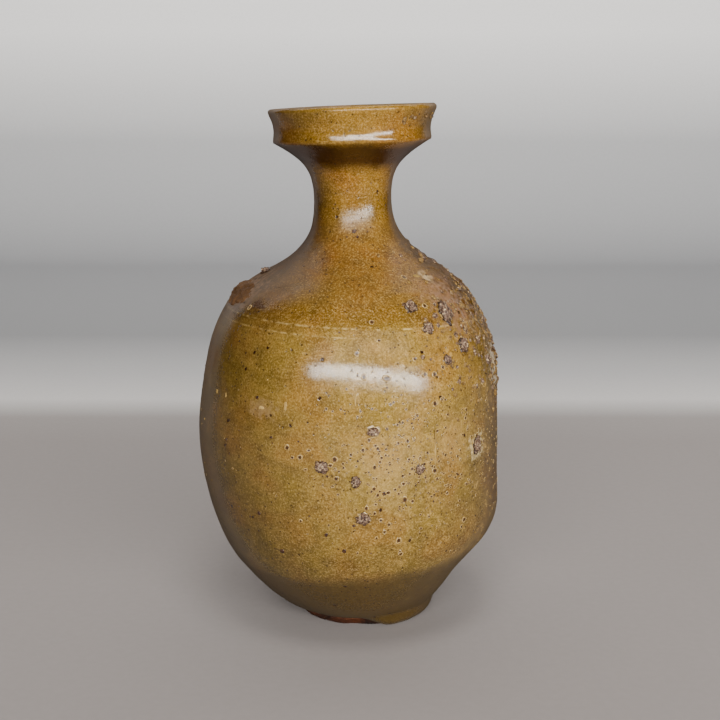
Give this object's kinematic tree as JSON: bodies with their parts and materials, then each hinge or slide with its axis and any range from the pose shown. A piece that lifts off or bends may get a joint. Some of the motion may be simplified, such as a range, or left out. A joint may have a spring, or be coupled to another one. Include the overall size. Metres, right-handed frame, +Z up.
{
  "type": "sake bottle",
  "caption": "Ash-glazed stoneware sake bottle with a wide body, short neck and dish-shaped mouth, for storing and pouring sake.",
  "frame": {"origin": "centre of the floor area that the bottle covers, at the level of its flat base", "axes": "+Z up along the height of the bottle; -Y towards the front, the side with the most kiln grit to the right of it (+X)"},
  "size_m": [0.148, 0.1498, 0.2497],
  "materials": {
    "bare_clay": "unglazed fired red-brown stoneware clay, matt",
    "body_glaze": "mottled olive-ochre natural ash glaze, glossy with fine pits",
    "shoulder_glaze": "warm brown natural ash glaze, satin to glossy",
    "mouth_glaze": "amber natural ash glaze, glossy",
    "kiln_grit": "rough fused kiln grit, matt"
  },
  "bodies": {
    "root": {"base_disc": "bare_clay", "lower_wall": "body_glaze", "belly_wall": "body_glaze", "shoulder_dome": "shoulder_glaze", "neck_tube": "mouth_glaze", "mouth_dish": "mouth_glaze", "rim_collar": "mouth_glaze", "stuck_shard": "bare_clay", "kiln_grit_01": "kiln_grit", "kiln_grit_02": "kiln_grit", "kiln_grit_03": "kiln_grit", "kiln_grit_04": "kiln_grit", "kiln_grit_05": "kiln_grit", "kiln_grit_06": "kiln_grit", "kiln_grit_07": "kiln_grit", "kiln_grit_08": "kiln_grit", "kiln_grit_09": "kiln_grit", "kiln_grit_10": "kiln_grit", "kiln_grit_11": "kiln_grit", "kiln_grit_12": "kiln_grit"}
  },
  "joints": []
}
